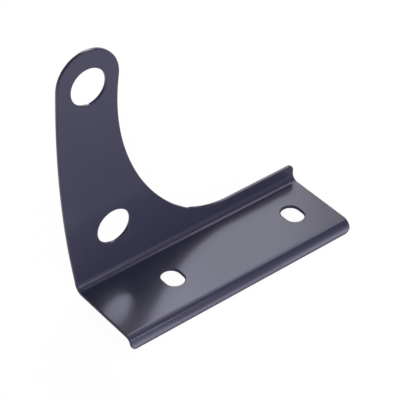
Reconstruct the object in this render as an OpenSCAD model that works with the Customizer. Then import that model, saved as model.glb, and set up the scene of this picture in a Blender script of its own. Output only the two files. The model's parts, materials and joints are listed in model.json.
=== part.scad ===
// Snow guard bracket: one piece of steel sheet, cut flat and bent twice.
// The base lies on the roof and is screwed down through two slots. Its lip turns down along one long
// edge, and an upright stands along the other, with holes for two snow guard tubes.
// X runs along the base from the arm's end, Y across it towards the back of the upright, Z up.
// The origin is on the roof face, midway between the slots. Millimetres.

/* [Sheet] */
// Thickness of the steel sheet
sheet_t = 2.5; // [1.5:0.1:4]
// Inside radius of the bend between base and upright
upright_bend_r = 5; // [2:0.5:8]
// Inside radius of the bend between base and lip
lip_bend_r = 4; // [2:0.5:6]

/* [Base] */
// Length of the base
base_l = 193.7; // [182:0.1:260]
// Depth of the base, from the back of the upright to the outside of the lip
base_w = 65.1; // [60:0.1:90]
// How far the lip reaches below the roof face
lip_drop = 7.7; // [7:0.1:20]
// Radius of the lip's two lower corners
lip_corner_r = 4.4; // [1:0.1:6]

/* [Slots] */
// Width of a slot, along the base
slot_w = 14.6; // [6:0.1:20]
// Length of a slot's straight sides, across the base
slot_straight = 4.2; // [1:0.1:12]
// Distance between the slots' centres
slot_pitch = 108.3; // [80:0.1:112]
// Distance from the arm's end of the base to the nearer slot's centre
slot_inset = 58.7; // [30:0.1:65]
// Distance from the back of the upright to the slots' centre line
slot_line = 33; // [25:0.1:36]

/* [Tube holes] */
// Diameter of both tube holes
tube_hole_d = 27; // [20:0.1:34]
// Height of the upper hole's centre above the roof face
upper_hole_z = 162.7; // [120:0.1:220]
// Distance from the base's end to the upper hole's centre
upper_hole_x = 19.6; // [15:0.1:40]
// Height of the lower hole's centre above the roof face
lower_hole_z = 41.5; // [32:0.1:70]
// Distance from the base's end to the lower hole's centre
lower_hole_x = 33.3; // [25:0.1:45]

/* [Arm] */
// Radius of the arm's round tip
tip_r = 23.7; // [19:0.1:30]
// How far the tip's centre lies above the upper hole's centre
tip_rise = 3.4; // [0:0.1:8]
// Radius of the arm's long convex back edge
back_edge_r = 740; // [300:10:1500]
// Radius of the hollow sweep between the tip and the low flange
sweep_r = 145.1; // [115:0.1:220]
// Radius that blends the sweep into the low flange
blend_r = 70.6; // [40:0.1:85]
// Distance from the base's end to where the low flange's straight edge begins
blend_x = 132.5; // [115:0.1:160]

/* [Low flange] */
// Height of the low flange above the roof face
flange_h = 15; // [13:0.1:30]
// Radius of the low flange's free corner
flange_corner_r = 4; // [1:0.1:8]

/* [Hidden] */
$fn = 360;

// How far a cutting shape runs past the face that it cuts
over = 1;
// How far a bounding shape runs past the whole bracket
clear = 60;
slot_mid_x = slot_inset + slot_pitch / 2;
tip_z = upper_hole_z + tip_rise;

// Centres of the arcs that draw the arm, each found from the curves that it touches
tip_c = [upper_hole_x, tip_z];
blend_c = [blend_x, flange_h + blend_r];
sweep_c = meeting(blend_c, sweep_r - blend_r, tip_c, sweep_r + tip_r);
// The back edge starts at the base's end, where the upright leaves its bend
back_edge_start = [0, sheet_t + upright_bend_r];
back_c = meeting(back_edge_start, back_edge_r, tip_c, back_edge_r - tip_r);

// The direction of v, one long
function unit(v) = v / norm(v);

// The angle of v from the X axis
function heading(v) = atan2(v.y, v.x);

// The point at distance ra from a and rb from b that lies right of the way from a to b
function meeting(a, ra, b, rb) =
    let (d = norm(b - a),
         ahead = (ra * ra - rb * rb + d * d) / (2 * d),
         dir = unit(b - a))
    a + ahead * dir + sqrt(ra * ra - ahead * ahead) * [dir.y, -dir.x];

// Rectangle with one corner at p and the others towards dir, its corner at p rounded by r
module rounded_block(p, dir, size, r) {
    centre = p + r * dir;
    outside = p - over * dir;
    difference() {
        polygon([p, [p.x + dir.x * size.x, p.y], [p.x + dir.x * size.x, p.y + dir.y * size.y],
                 [p.x, p.y + dir.y * size.y]]);
        difference() {
            polygon([centre, [outside.x, centre.y], outside, [centre.x, outside.y]]);
            translate(centre) circle(r = r);
        }
    }
}

// Section of sheet bent to a right angle, its outer corner at p, its legs towards dir
module bend_section(p, dir, size, inside_r) {
    difference() {
        rounded_block(p, dir, size, inside_r + sheet_t);
        rounded_block(p + sheet_t * dir, dir, size, inside_r);
    }
}

// Cross-section of the folded sheet, Y across and Z up, as tall as the arm
module sheet_section() {
    bend_section([0, 0], [-1, 1], [base_w - sheet_t - lip_bend_r, tip_z + clear], upright_bend_r);
    bend_section([-base_w, sheet_t], [1, -1],
                 [base_w - sheet_t - upright_bend_r, sheet_t + lip_drop + over], lip_bend_r);
}

// The arm from the side, X along and Z up
module arm_outline() {
    past_tip = tip_r + clear;
    translate(tip_c) circle(r = tip_r);
    difference() {
        intersection() {
            translate(back_c) circle(r = back_edge_r);
            polygon([[-clear, 0], tip_c + past_tip * unit(tip_c - back_c), tip_c,
                     tip_c + past_tip * unit(sweep_c - tip_c), blend_c, [blend_x, 0]]);
        }
        hollow_edge();
    }
}

// What the arm's hollow edge leaves free: the blend's disc and, on the arm's side of the line through
// both centres, the sweep's disc, which it touches from inside
module hollow_edge() {
    translate(blend_c) rotate(heading(sweep_c - blend_c)) {
        circle(r = blend_r);
        intersection() {
            translate([sweep_r - blend_r, 0]) circle(r = sweep_r);
            translate([-blend_r - over, 0]) square([2 * (sweep_r + over), sweep_r + over]);
        }
    }
}

// Base, low flange and lip from the side
module strip_outline() {
    intersection() {
        rounded_block([0, -lip_drop], [1, 1], [base_l, lip_drop + flange_h], lip_corner_r);
        rounded_block([base_l, -lip_drop], [-1, 1], [base_l, lip_drop + flange_h], lip_corner_r);
        rounded_block([base_l, flange_h], [-1, -1], [base_l, lip_drop + flange_h], flange_corner_r);
    }
}

// Round bore through the upright
module tube_bore(x, z) {
    translate([x, over, z]) rotate([90, 0, 0]) cylinder(d = tube_hole_d, h = sheet_t + 2 * over);
}

// Slot with round ends through the base
module slot(x) {
    translate([x, -slot_line, -over]) linear_extrude(sheet_t + 2 * over) {
        for (side = [-1, 1]) translate([0, side * slot_straight / 2]) circle(d = slot_w);
        square([slot_w, slot_straight], center = true);
    }
}

// The folded section, run the length of the base and trimmed to the outline, then pierced
module bracket() {
    color([0.28, 0.27, 0.33])
    translate([-slot_mid_x, slot_line, 0])
    difference() {
        intersection() {
            translate([-clear, 0, 0]) rotate([90, 0, 90]) linear_extrude(base_l + 2 * clear) sheet_section();
            translate([0, over, 0]) rotate([90, 0, 0]) linear_extrude(base_w + 2 * over) {
                strip_outline();
                arm_outline();
            }
        }
        tube_bore(upper_hole_x, upper_hole_z);
        tube_bore(lower_hole_x, lower_hole_z);
        for (x = [slot_inset, slot_inset + slot_pitch]) slot(x);
    }
}

bracket();
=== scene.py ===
import json
from math import asin, atan2, ceil, cos, hypot, pi, radians, sin, sqrt, tan

import bpy
import numpy as np
from mathutils import Matrix, Vector
from mathutils.geometry import delaunay_2d_cdt


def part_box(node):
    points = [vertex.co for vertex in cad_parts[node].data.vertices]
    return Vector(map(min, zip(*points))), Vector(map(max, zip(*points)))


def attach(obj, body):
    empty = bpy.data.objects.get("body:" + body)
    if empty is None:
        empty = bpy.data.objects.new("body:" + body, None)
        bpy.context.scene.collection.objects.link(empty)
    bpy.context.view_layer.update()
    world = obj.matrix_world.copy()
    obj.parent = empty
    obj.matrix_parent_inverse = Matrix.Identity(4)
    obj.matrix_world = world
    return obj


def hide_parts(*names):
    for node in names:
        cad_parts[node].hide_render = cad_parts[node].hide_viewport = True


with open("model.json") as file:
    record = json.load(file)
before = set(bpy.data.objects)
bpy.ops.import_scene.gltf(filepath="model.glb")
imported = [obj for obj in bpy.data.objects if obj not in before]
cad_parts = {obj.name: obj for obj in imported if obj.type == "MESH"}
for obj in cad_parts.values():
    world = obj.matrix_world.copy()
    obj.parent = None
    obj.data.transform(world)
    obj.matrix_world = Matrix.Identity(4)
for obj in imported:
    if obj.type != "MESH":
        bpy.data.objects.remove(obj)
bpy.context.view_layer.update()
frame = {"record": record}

# Sizes are in millimetres, and meshes are written in metres
MM = 0.001
mounts = {m["name"]: m for m in frame["record"]["mounts"]}
box_low, box_high = (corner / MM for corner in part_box("bracket"))

# The sheet and its two bends
SHEET_T = mounts["upper_tube_hole"]["dims"]["length_mm"]
UPRIGHT_BEND_R = 5.0
LIP_BEND_R = 4.0

# The base's ends, the lip's front and lower edge, and the upright's front
BASE_L = 193.7
BASE_END = box_high.x
ARM_END = BASE_END - BASE_L
LIP_FRONT = box_low.y
LIP_EDGE = box_low.z
UPRIGHT_FRONT = box_high.y - SHEET_T
LIP_CORNER_R = 4.4
FLANGE_CORNER_R = 4.0
FLANGE_TOP = 15.0

# The arm's outline
TIP_R = 23.7
TIP_RISE = 3.4
BACK_EDGE_R = 740.0
SWEEP_R = 145.1
BLEND_R = 70.6
BLEND_X = 132.5

# How far the powder coat rounds a cut edge, how far in from the edge it turns dull, and how strongly the
# dullness holds on round the rim
EDGE_R = 0.5
DULL_REACH = 0.78
DULL_HOLD = 2.5

# Small marks where the cut began and ended. Of each: the angles at which it begins, is deep from and to,
# and ends, in degrees about the arc's centre, and its depth.
CUT_MARKS = {
    "upper_tube_hole": (-96.0, -92.0, -87.5, -84.7, 0.48),
    "lower_tube_hole": (-94.0, -89.0, -88.0, -84.6, 0.45),
    "hollow_edge": (-127.3, -120.2, -119.6, -116.8, 0.68),
}
MARK_EASE = 0.5
MARK_EASE_SAMPLES = 9

# Spacing of the mesh's points: on faces and straight edges, on the lip, and along arcs of each kind
GRID_STEP = 5.0
LIP_STEP = 1.2
ARC_STEP = 1.6
BACK_EDGE_STEP = 3 * ARC_STEP
TUBE_HOLE_STEP = 0.8
SLOT_STEP = 0.6
CORNER_STEP = 0.5
MARK_STEP = 0.18

# Steps across a bend, and round a rim
BEND_STEPS = 14
EDGE_STEPS = 4

# How far the mesh's inner points keep from its outline, how near a point of the outline lies to the row
# of a bend that ends there, and how near two points count as one, in a loop and in the mesh
GRID_GAP = 1.0
ROW_REACH = 0.15
SAME_POINT = 1e-6
MESH_TOLERANCE = 1e-5

# Powder coat: its two colours, the scale and detail of each noise, the sharp gloss and the wide haze
# round it, both of them again on the dull rims, and the grain, with its depth in metres
COAT_COLOURS = ((0.0180, 0.0172, 0.0345), (0.0200, 0.0192, 0.0385))
COLOUR_NOISE = (60, 3)
GLOSS_NOISE = (220, 4)
GRAIN_NOISE = (900, 2)
GLOSS_LEVEL = 0.20
GLOSS_TINT = (0.69, 0.67, 1)
GLOSS_ROUGHNESS = (0.15, 0.21)
HAZE_WEIGHT = 0.42
HAZE_ROUGHNESS = 0.45
RIM_ROUGHNESS = 0.9
RIM_HAZE_WEIGHT = 0.06
GRAIN_STRENGTH = 0.15
GRAIN_DEPTH = 0.0002

# Camera, matched to the photograph: angles in degrees, and how far it sees in metres
CAMERA_AIM = (-22.775, 9.122, 49.089)
CAMERA_AZIMUTH = -37.936
CAMERA_ELEVATION = 39.581
CAMERA_ROLL = -0.471
CAMERA_DISTANCE = 1118.2
CAMERA_LENS = 147.95
CAMERA_CLIP_END = 100

# Floor, in metres, and how much of it is white whatever falls on it. Reflections show it dimmer near the
# bracket,
# a painted shade: as bright as the shade level below at the first distance from the origin, and white at
# the second.
FLOOR_REACH = 12.0
FLOOR_COLOUR = (0.9, 0.9, 0.9)
FLOOR_GLOW = 0.96
FLOOR_PAINTED_SHADE_REACH = (0.06, 0.22)
FLOOR_PAINTED_SHADE_LEVEL = 0.3

# Light from all round: degrees above the floor, and strengths
WALL_TOP = 1.0
CEILING_START = 8.0
WALL_LIGHT = 1.0
CEILING_LIGHT = 0.1

# Softboxes, LIGHT_DISTANCE metres off: azimuth, elevation, width and height in degrees, and strength,
# where 1 is white
LIGHT_DISTANCE = 1.2
SOFTBOXES = {
    "back_left": (65, 37, 12, 20, 6.6),
    "back": (52, 41, 12, 28, 4.7),
    "back_right": (40, 41, 12, 28, 1.9),
    "top": (31, 59, 40, 20, 5.2),
    "top_right": (350, 63, 14, 14, 2.5),
    "over": (215, 62, 40, 30, 3.2),
    "low_left": (238, 8, 20, 12, 26.0),
    "low_front": (262, 3, 30, 4, 56.0),
}

# Small light turned to the arm's end, in metres
NEAR_LIGHT_PLACE = (0.10, -0.42, 0.25)
NEAR_LIGHT_SIZE = (0.10, 0.12)
NEAR_LIGHT_STRENGTH = 9.0

# Strip lights on the floor before the lip: x of the middle, length and width in metres, and strength.
# Each lies LIP_LIGHT_LIFT above the one before it.
LIP_LIGHTS = {
    "lip": (0, 0.3, 0.007, 1.0),
    "lip_middle": (-0.025, 0.09, 0.007, 0.8),
    "lip_arm_end": (-0.114, 0.086, 0.035, 1.2),
    "lip_low_end": (0.085, 0.13, 0.035, 1.2),
}
LIP_LIGHT_GAP = 0.001
LIP_LIGHT_LIFT = 0.0002


# The section of the folded sheet

class Section:
    """The shown face of the sheet from the lip's edge to the arm's top, as a line that s runs along."""

    def __init__(self):
        half_t = SHEET_T / 2
        self.lip_outer_r = LIP_BEND_R + SHEET_T
        self.lip_bend_y = LIP_FRONT + self.lip_outer_r
        self.lip_bend_z = SHEET_T - self.lip_outer_r
        self.rear_bend_y = UPRIGHT_FRONT - UPRIGHT_BEND_R
        self.rear_bend_z = SHEET_T + UPRIGHT_BEND_R
        self.lip_top = self.lip_bend_z - LIP_EDGE
        self.base_start = self.lip_top + pi / 2 * (LIP_BEND_R + half_t)
        self.base_stop = self.base_start + self.rear_bend_y - self.lip_bend_y
        self.upright_start = self.base_stop + pi / 2 * (UPRIGHT_BEND_R + half_t)

    def s_of_height(self, z):
        """s of a point of the upright at height z."""
        return self.upright_start + z - self.rear_bend_z

    def s_of_depth(self, y):
        """s of a point of the base at y."""
        return self.base_start + y - self.lip_bend_y

    def bend_rows(self):
        """s of the rows of points that the mesh has across each bend."""
        return (np.linspace(self.lip_top, self.base_start, BEND_STEPS + 1),
                np.linspace(self.base_stop, self.upright_start, BEND_STEPS + 1))

    def at(self, s):
        """At s, (y, z) of the shown face, of the way out of it and of the way in which s grows."""
        s = np.asarray(s, float)
        lip_turn = np.clip((s - self.lip_top) / (self.base_start - self.lip_top), 0, 1) * pi / 2
        rear_turn = np.clip((s - self.base_stop) / (self.upright_start - self.base_stop), 0, 1) * pi / 2
        in_front = s < self.base_start
        turn = np.where(in_front, pi / 2 - lip_turn, rear_turn)
        out = np.stack([-np.sin(turn), np.cos(turn)], -1)
        along = np.stack([np.cos(turn), np.sin(turn)], -1)
        lip_y = self.lip_bend_y + self.lip_outer_r * out[..., 0]
        lip_z = self.lip_bend_z + self.lip_outer_r * out[..., 1] + np.minimum(s - self.lip_top, 0)
        rear_y = self.rear_bend_y - UPRIGHT_BEND_R * out[..., 0] + np.minimum(s - self.base_stop, 0)
        rear_z = self.rear_bend_z - UPRIGHT_BEND_R * out[..., 1] + np.maximum(s - self.upright_start, 0)
        place = np.stack([np.where(in_front, lip_y, rear_y), np.where(in_front, lip_z, rear_z)], -1)
        return place, out, along


section = Section()


# The sheet's outline as it lies flat: rows of (x, s, outward x, outward s)

def mark_depth(angles, radius, mark):
    """How deep a cut mark goes in at each angle, with its corners eased over MARK_EASE."""
    begin, deep_from, deep_to, end = np.radians(mark[:4])
    ease = MARK_EASE / radius
    total = 0
    for shift in np.linspace(-ease / 2, ease / 2, MARK_EASE_SAMPLES):
        at = angles + shift
        share = np.minimum((at - begin) / (deep_from - begin), (end - at) / (end - deep_to))
        total = total + np.clip(share, 0, 1)
    return mark[4] * total / MARK_EASE_SAMPLES


def arc(centre, radius, start, stop, hollow=False, step=ARC_STEP, mark=None):
    """Points of an arc from angle start to angle stop. The metal lies outside a hollow arc's circle."""
    count = max(3, ceil(abs(stop - start) * radius / step))
    angles = np.linspace(start, stop, count + 1)
    depth = np.zeros(count + 1)
    if mark:
        reach = (MARK_EASE + MARK_STEP) / radius
        first, last = radians(mark[0]) - reach, radians(mark[3]) + reach
        fine = np.linspace(first, last, ceil((last - first) * radius / MARK_STEP))
        coarse = angles[(angles < first - reach / 2) | (angles > last + reach / 2)]
        angles = np.sort(np.concatenate([coarse, fine]))
        angles = angles if start < stop else angles[::-1]
        depth = mark_depth(angles, radius, mark)
    radial = np.stack([np.cos(angles), np.sin(angles)], -1)
    forward = np.stack([-np.sin(angles), np.cos(angles)], -1)
    outward = radial - (np.gradient(depth, angles) / (radius + depth))[:, None] * forward
    outward /= np.hypot(*outward.T)[:, None]
    return np.hstack([centre + (radius + depth)[:, None] * radial, -outward if hollow else outward])


def line(start, stop):
    """Points of a straight edge, with the metal on the left."""
    start, stop = np.array(start, float), np.array(stop, float)
    run = stop - start
    length = hypot(*run)
    share = np.linspace(0, 1, max(1, ceil(length / GRID_STEP)) + 1)[:, None]
    outward = np.array([run[1], -run[0]]) / length
    return np.hstack([start + share * run, np.tile(outward, (len(share), 1))])


def joined(pieces):
    """One closed loop from pieces that end where the next begins, with the mean way outwards there."""
    rows = []
    for row in np.vstack(pieces):
        if rows and hypot(*(row[:2] - rows[-1][:2])) < SAME_POINT:
            mean = rows[-1][2:] + row[2:]
            rows[-1][2:] = mean / hypot(*mean)
        else:
            rows.append(row.copy())
    if hypot(*(rows[0][:2] - rows[-1][:2])) < SAME_POINT:
        rows.pop()
    return np.array(rows)


def meeting(a, ra, b, rb):
    """The point at distance ra from a and rb from b that lies right of the way from a to b."""
    way = np.subtract(b, a)
    d = hypot(*way)
    way = way / d
    ahead = (ra * ra - rb * rb + d * d) / (2 * d)
    return a + ahead * way + sqrt(ra * ra - ahead * ahead) * np.array([way[1], -way[0]])


def heading(way):
    """The angle of a way from the x axis."""
    return atan2(way[1], way[0])


def side(x, outward, upwards):
    """The strip's straight end at x, from lip corner to upright, with a point at each row of a bend."""
    lip_rows, rear_rows = section.bend_rows()
    lean = np.clip(LIP_CORNER_R - lip_rows, 0, None) / LIP_CORNER_R
    reach = np.sqrt(1 - lean ** 2)
    lip = np.stack([x - outward * LIP_CORNER_R * (1 - reach), lip_rows, outward * reach, -lean], -1)
    base = line((x, section.base_start), (x, section.base_stop))[1:-1, 1]
    rest = np.array([(x, s, outward, 0) for s in (*base, *rear_rows)])
    rows = np.vstack([lip, rest])
    return rows if upwards else rows[::-1]


def lip_corner(x, outward):
    """The rounded lower corner of the lip at x, up to where the bend begins."""
    centre = np.array([x - outward * LIP_CORNER_R, LIP_CORNER_R])
    rise = asin((section.lip_top - LIP_CORNER_R) / LIP_CORNER_R)
    if outward > 0:
        return arc(centre, LIP_CORNER_R, -pi / 2, rise, step=CORNER_STEP)
    return arc(centre, LIP_CORNER_R, -pi - rise, -pi / 2, step=CORNER_STEP)


def outer_loop():
    """The whole outline, with the metal on its left."""
    hole = mounts["upper_tube_hole"]["pos_m"]
    tip = np.array([hole[0] / MM, section.s_of_height(hole[2] / MM + TIP_RISE)])
    blend = np.array([ARM_END + BLEND_X, section.s_of_height(FLANGE_TOP + BLEND_R)])
    sweep = meeting(blend, SWEEP_R - BLEND_R, tip, SWEEP_R + TIP_R)
    foot = np.array([ARM_END, section.upright_start])
    back = meeting(foot, BACK_EDGE_R, tip, BACK_EDGE_R - TIP_R)
    flange_top = section.s_of_height(FLANGE_TOP)
    corner = np.array([BASE_END - FLANGE_CORNER_R, flange_top - FLANGE_CORNER_R])
    blend_turn = heading(blend - sweep)
    tip_turn = heading(tip - sweep) % (2 * pi)
    back_turn = heading(tip - back) % (2 * pi)
    foot_turn = heading(foot - back) % (2 * pi)
    return joined([
        line((ARM_END + LIP_CORNER_R, 0), (BASE_END - LIP_CORNER_R, 0)),
        lip_corner(BASE_END, 1),
        side(BASE_END, 1, True),
        line((BASE_END, section.upright_start), (BASE_END, corner[1])),
        arc(corner, FLANGE_CORNER_R, 0, pi / 2, step=CORNER_STEP),
        line((corner[0], flange_top), (blend[0], flange_top)),
        arc(blend, BLEND_R, -pi / 2, blend_turn, hollow=True, mark=CUT_MARKS["hollow_edge"]),
        arc(sweep, SWEEP_R, blend_turn % (2 * pi), tip_turn, hollow=True),
        arc(tip, TIP_R, tip_turn - pi, back_turn),
        arc(back, BACK_EDGE_R, back_turn, foot_turn, step=BACK_EDGE_STEP),
        side(ARM_END, -1, False),
        lip_corner(ARM_END, -1),
    ])


def tube_hole(name):
    """A round hole of the upright, run clockwise so that the metal is on its left."""
    mount = mounts[name]
    centre = np.array([mount["pos_m"][0] / MM, section.s_of_height(mount["pos_m"][2] / MM)])
    radius = mount["dims"]["r_mm"]
    circle = arc(centre, radius, 0, -2 * pi, hollow=True, step=TUBE_HOLE_STEP, mark=CUT_MARKS[name])
    return joined([circle])


def slot_hole(name):
    """A slot of the base with round ends, longer across the base than along it."""
    mount = mounts[name]
    centre = np.array([mount["pos_m"][0] / MM, section.s_of_depth(mount["pos_m"][1] / MM)])
    radius = mount["dims"]["hole_r_mm"]
    reach = np.array([0, mount["dims"]["slot_length_mm"] / 2 - radius])
    return joined([
        arc(centre + reach, radius, pi, 0, hollow=True, step=SLOT_STEP),
        arc(centre - reach, radius, 0, -pi, hollow=True, step=SLOT_STEP),
    ])


# The sheet as a closed mesh

def inside(points, loop):
    """Which points lie inside a closed loop."""
    x, y = points[:, :1], points[:, 1:]
    ax, ay = loop[:, 0], loop[:, 1]
    bx, by = np.roll(ax, -1), np.roll(ay, -1)
    spans = (ay > y) != (by > y)
    with np.errstate(divide="ignore", invalid="ignore"):
        crossing = ax + (y - ay) * (bx - ax) / (by - ay)
    return (spans & (x < crossing)).sum(1) % 2 == 1


def in_sheet(points, loops):
    """Which points lie inside the outline and outside the holes."""
    outline, *holes = loops
    result = inside(points, outline)
    for hole in holes:
        result &= ~inside(points, hole)
    return result


def clear_of(points, others):
    """Which points keep GRID_GAP from all the others."""
    return np.array([np.min(np.hypot(*(others - p).T)) > GRID_GAP for p in points], bool)


def flat_mesh(loops):
    """Points and triangles that fill the outline. The points of the loops come first, in order."""
    points = list(loops)
    edges = []
    first = 0
    for loop in loops:
        count = len(loop)
        edges += [(first + i, first + (i + 1) % count) for i in range(count)]
        first += count
    outline = loops[0]
    xs = np.arange(box_low.x, box_high.x, GRID_STEP)
    for s in np.concatenate(section.bend_rows()):
        ends = [i for i in range(len(outline)) if abs(outline[i, 1] - s) < ROW_REACH]
        left = min(ends, key=lambda i: outline[i, 0])
        right = max(ends, key=lambda i: outline[i, 0])
        row_x = xs[(xs > outline[left, 0] + GRID_GAP) & (xs < outline[right, 0] - GRID_GAP)]
        points.append(np.stack([row_x, np.full(len(row_x), s)], -1))
        chain = [left, *range(first, first + len(row_x)), right]
        edges += zip(chain, chain[1:])
        first += len(row_x)
    rows = np.concatenate([
        np.arange(0, section.lip_top, LIP_STEP)[1:],
        np.arange(section.base_start, section.base_stop, GRID_STEP)[1:],
        np.arange(section.upright_start, section.s_of_height(box_high.z), GRID_STEP)[1:],
    ])
    grid = np.array([(x, s) for s in rows for x in xs])
    grid = grid[in_sheet(grid, loops)]
    grid = grid[clear_of(grid, np.vstack(loops))]
    points = np.vstack([*points, grid])
    out, _, triangles, *_ = delaunay_2d_cdt([Vector(p) for p in points], edges, [], 0, MESH_TOLERANCE)
    if len(out) != len(points):
        raise RuntimeError("the outline's points touch one another")
    triangles = np.array(triangles)
    return points, triangles[in_sheet(points[triangles].mean(1), loops)]


def placed(x, s, depth):
    """Points at a depth under the shown face, and there the ways out of it and along s."""
    place, out, along = section.at(s)
    point = place - np.asarray(depth)[..., None] * out
    nought = np.zeros_like(x)[..., None]
    return (np.concatenate([x[..., None], point], -1), np.concatenate([nought, out], -1),
            np.concatenate([nought, along], -1))


def sheet_mesh(loops):
    """The folded sheet: both faces, and round each loop a cut edge with rounded rims."""
    inset = [loop[:, :2] - DULL_REACH * loop[:, 2:] for loop in loops]
    points, triangles = flat_mesh(inset)
    count = len(points)
    top, out, _ = placed(points[:, 0], points[:, 1], np.zeros(count))
    bottom = placed(points[:, 0], points[:, 1], np.full(count, SHEET_T))[0]
    vertices = [top, bottom]
    normals = [out, -out]
    rim = [np.zeros(2 * count)]
    faces = triangles.tolist() + (triangles[:, ::-1] + count).tolist()
    total = 2 * count

    # Across the cut edge, from one face's rim to the other's: how far it has turned, and the depth there
    turns = np.linspace(0, pi / 2, EDGE_STEPS + 1)
    profile = [(turn, EDGE_R * (1 - cos(turn))) for turn in turns]
    profile += [(pi - turn, SHEET_T - depth) for turn, depth in profile[::-1]]

    first = 0
    for loop in loops:
        size = len(loop)
        rings = [np.arange(first, first + size)]
        for turn, depth in profile:
            flat = loop[:, :2] - EDGE_R * (1 - sin(turn)) * loop[:, 2:]
            point, out, along = placed(flat[:, 0], flat[:, 1], np.full(size, depth))
            across = loop[:, 2:3] * np.array([1.0, 0, 0]) + loop[:, 3:4] * along
            vertices.append(point)
            normals.append(cos(turn) * out + sin(turn) * across)
            rim.append(np.full(size, min(1, DULL_HOLD * cos(turn) ** 2)))
            rings.append(np.arange(total, total + size))
            total += size
        rings.append(np.arange(count + first, count + first + size))
        for upper, lower in zip(rings, rings[1:]):
            faces += np.stack([upper, lower, np.roll(lower, -1), np.roll(upper, -1)], -1).tolist()
        first += size

    mesh = bpy.data.meshes.new("bracket_sheet")
    mesh.from_pydata((np.vstack(vertices) * MM).tolist(), [], faces)
    mesh.validate()
    mesh.shade_smooth()
    mesh.normals_split_custom_set_from_vertices(np.vstack(normals).tolist())
    mesh.attributes.new("rim", "FLOAT", "POINT").data.foreach_set("value", np.concatenate(rim))
    return mesh


# Materials

def new_material(name):
    """A material, its nodes and its links."""
    material = bpy.data.materials.new(name)
    material.use_nodes = True
    return material, material.node_tree.nodes, material.node_tree.links


def add_math(nodes, links, operation, first, second):
    """The result of a Math node for a socket and a socket or number."""
    node = nodes.new("ShaderNodeMath")
    node.operation = operation
    links.new(first, node.inputs[0])
    if isinstance(second, float):
        node.inputs[1].default_value = second
    else:
        links.new(second, node.inputs[1])
    return node.outputs["Value"]


def powder_coat():
    """Satin powder coat: a tinted gloss within a wider haze, both of them dull on the rims."""
    material, nodes, links = new_material("powder_coat")
    shader = nodes["Principled BSDF"]
    place = nodes.new("ShaderNodeTexCoord").outputs["Object"]

    def noise(scale, detail):
        node = nodes.new("ShaderNodeTexNoise")
        node.inputs["Scale"].default_value = scale
        node.inputs["Detail"].default_value = detail
        links.new(place, node.inputs["Vector"])
        return node.outputs["Fac"]

    def ranged(value, low, high):
        node = nodes.new("ShaderNodeMapRange")
        node.inputs["To Min"].default_value = low
        node.inputs["To Max"].default_value = high
        links.new(value, node.inputs["Value"])
        return node.outputs["Result"]

    colour = nodes.new("ShaderNodeMix")
    colour.data_type = "RGBA"
    for socket, value in zip("AB", COAT_COLOURS):
        colour.inputs[socket].default_value = (*value, 1)
    links.new(noise(*COLOUR_NOISE), colour.inputs["Factor"])
    links.new(colour.outputs["Result"], shader.inputs["Base Color"])

    rim = nodes.new("ShaderNodeAttribute")
    rim.attribute_name = "rim"
    rim = rim.outputs["Fac"]
    roughness = add_math(nodes, links, "MAXIMUM", ranged(noise(*GLOSS_NOISE), *GLOSS_ROUGHNESS),
                         ranged(rim, 0, RIM_ROUGHNESS))
    links.new(roughness, shader.inputs["Roughness"])
    shader.inputs["Specular IOR Level"].default_value = GLOSS_LEVEL
    shader.inputs["Specular Tint"].default_value = (*GLOSS_TINT, 1)
    links.new(ranged(rim, HAZE_WEIGHT, RIM_HAZE_WEIGHT), shader.inputs["Coat Weight"])
    shader.inputs["Coat Roughness"].default_value = HAZE_ROUGHNESS

    grain = nodes.new("ShaderNodeBump")
    grain.inputs["Strength"].default_value = GRAIN_STRENGTH
    grain.inputs["Distance"].default_value = GRAIN_DEPTH
    links.new(noise(*GRAIN_NOISE), grain.inputs["Height"])
    links.new(grain.outputs["Normal"], shader.inputs["Normal"])
    return material


def floor_material():
    """White to the eye, and in reflections too but for a painted shade near the bracket. A small share
    is left to the light and the shadow."""
    material, nodes, links = new_material("floor")
    nodes.clear()
    rays = nodes.new("ShaderNodeLightPath").outputs
    seen = rays["Is Camera Ray"]
    for name in ("Is Glossy Ray", "Is Transmission Ray"):
        seen = add_math(nodes, links, "MAXIMUM", seen, rays[name])

    distance = nodes.new("ShaderNodeVectorMath")
    distance.operation = "LENGTH"
    links.new(nodes.new("ShaderNodeNewGeometry").outputs["Position"], distance.inputs[0])
    # Painted shade: reflections see the floor's glow dimmer near the bracket, rising from the shade
    # level to white
    fade = nodes.new("ShaderNodeMapRange")
    fade.interpolation_type = "SMOOTHSTEP"
    fade.inputs["From Min"].default_value, fade.inputs["From Max"].default_value = FLOOR_PAINTED_SHADE_REACH
    fade.inputs["To Min"].default_value = FLOOR_PAINTED_SHADE_LEVEL
    links.new(distance.outputs["Value"], fade.inputs["Value"])

    glow = nodes.new("ShaderNodeEmission")
    links.new(add_math(nodes, links, "MAXIMUM", rays["Is Camera Ray"], fade.outputs["Result"]),
              glow.inputs["Strength"])
    matt = nodes.new("ShaderNodeBsdfDiffuse")
    matt.inputs["Color"].default_value = (*FLOOR_COLOUR, 1)
    mix = nodes.new("ShaderNodeMixShader")
    links.new(add_math(nodes, links, "MULTIPLY", seen, FLOOR_GLOW), mix.inputs["Fac"])
    links.new(matt.outputs["BSDF"], mix.inputs[1])
    links.new(glow.outputs["Emission"], mix.inputs[2])
    links.new(mix.outputs["Shader"], nodes.new("ShaderNodeOutputMaterial").inputs["Surface"])
    return material


# Studio

def add_object(name, data):
    """A new object in the scene."""
    result = bpy.data.objects.new(name, data)
    bpy.context.scene.collection.objects.link(result)
    return result


def add_floor():
    """A square plain floor under the lip's edge."""
    z = box_low.z * MM
    corners = [(x * FLOOR_REACH, y * FLOOR_REACH, z) for x, y in ((-1, -1), (1, -1), (1, 1), (-1, 1))]
    mesh = bpy.data.meshes.new("floor")
    mesh.from_pydata(corners, [], [(0, 1, 2, 3)])
    floor = add_object("floor", mesh)
    floor.data.materials.append(floor_material())


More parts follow.
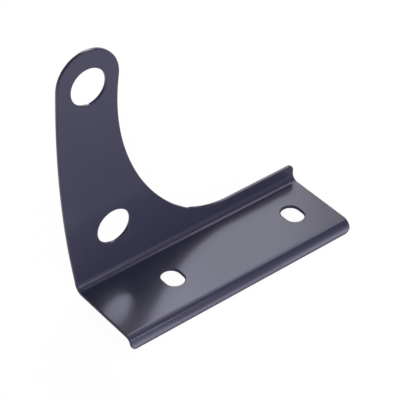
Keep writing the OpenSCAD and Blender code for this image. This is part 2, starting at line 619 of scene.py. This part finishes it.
def add_area_light(name, width, depth, strength, place, turn):
    """A rectangular light that reflections show as strength times white."""
    data = bpy.data.lights.new(name, "AREA")
    data.shape = "RECTANGLE"
    data.size, data.size_y = width, depth
    data.energy = strength * pi * width * depth
    light = add_object(name, data)
    light.location = place
    light.rotation_euler = turn
    light.visible_camera = False


def turned_to(way):
    """The turn of a light that shines along a way."""
    return way.to_track_quat("-Z", "Y").to_euler()


def add_softbox(name, azimuth, elevation, wide, high, strength):
    """A light at LIGHT_DISTANCE. Its azimuth runs from +X towards +Y, and its size is in degrees too."""
    a, e = radians(azimuth), radians(elevation)
    way = Vector((cos(a) * cos(e), sin(a) * cos(e), sin(e)))
    width, height = (2 * LIGHT_DISTANCE * tan(radians(size / 2)) for size in (wide, high))
    add_area_light(name, width, height, strength, LIGHT_DISTANCE * way, turned_to(-way))


def add_near_light():
    """The small light, turned to the arm's end of the base."""
    way = Vector((ARM_END * MM, 0, 0)) - Vector(NEAR_LIGHT_PLACE)
    add_area_light("near_light", *NEAR_LIGHT_SIZE, NEAR_LIGHT_STRENGTH, NEAR_LIGHT_PLACE, turned_to(way))


def add_lip_light(name, layer, x, length, width, strength):
    """A strip on the floor that shines upwards, LIP_LIGHT_GAP in front of the lip."""
    y = LIP_FRONT * MM - LIP_LIGHT_GAP - width / 2
    z = box_low.z * MM + layer * LIP_LIGHT_LIFT
    add_area_light(name, length, width, strength, (x, y, z), (pi, 0, 0))


def camera_back(azimuth, elevation):
    """From what the camera looks at, the way to it."""
    a, e = radians(azimuth), radians(elevation)
    return Vector((sin(a) * cos(e), -cos(a) * cos(e), sin(e)))


def add_camera():
    """The photograph's camera."""
    data = bpy.data.cameras.new("camera")
    data.lens = CAMERA_LENS
    data.clip_end = CAMERA_CLIP_END
    camera = add_object("camera", data)
    back = camera_back(CAMERA_AZIMUTH, CAMERA_ELEVATION)
    level = (-back).to_track_quat("-Z", "Y")
    camera.rotation_mode = "QUATERNION"
    camera.rotation_quaternion = level @ Matrix.Rotation(radians(CAMERA_ROLL), 3, "Z").to_quaternion()
    camera.location = MM * (Vector(CAMERA_AIM) + CAMERA_DISTANCE * back)
    bpy.context.scene.camera = camera


def set_world():
    """A pale wall all round, up to WALL_TOP degrees, under a dim ceiling."""
    world = bpy.data.worlds.new("studio")
    world.use_nodes = True
    nodes, links = world.node_tree.nodes, world.node_tree.links
    split = nodes.new("ShaderNodeSeparateXYZ")
    links.new(nodes.new("ShaderNodeTexCoord").outputs["Generated"], split.inputs["Vector"])
    fade = nodes.new("ShaderNodeMapRange")
    fade.interpolation_type = "SMOOTHSTEP"
    fade.inputs["From Min"].default_value = sin(radians(WALL_TOP))
    fade.inputs["From Max"].default_value = sin(radians(CEILING_START))
    fade.inputs["To Min"].default_value = WALL_LIGHT
    fade.inputs["To Max"].default_value = CEILING_LIGHT
    links.new(split.outputs["Z"], fade.inputs["Value"])
    links.new(fade.outputs["Result"], nodes["Background"].inputs["Strength"])
    nodes["Background"].inputs["Color"].default_value = (1, 1, 1, 1)
    bpy.context.scene.world = world


sheet = add_object("bracket_sheet", sheet_mesh([
    outer_loop(),
    tube_hole("upper_tube_hole"),
    tube_hole("lower_tube_hole"),
    slot_hole("arm_end_slot"),
    slot_hole("low_end_slot"),
]))
sheet.data.materials.append(powder_coat())
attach(sheet, "root")
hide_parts("bracket")

add_floor()
for name, box in SOFTBOXES.items():
    add_softbox(name, *box)
add_near_light()
for layer, (name, strip) in enumerate(LIP_LIGHTS.items(), 1):
    add_lip_light(name, layer, *strip)
set_world()
add_camera()
bpy.context.scene.view_settings.view_transform = "Standard"
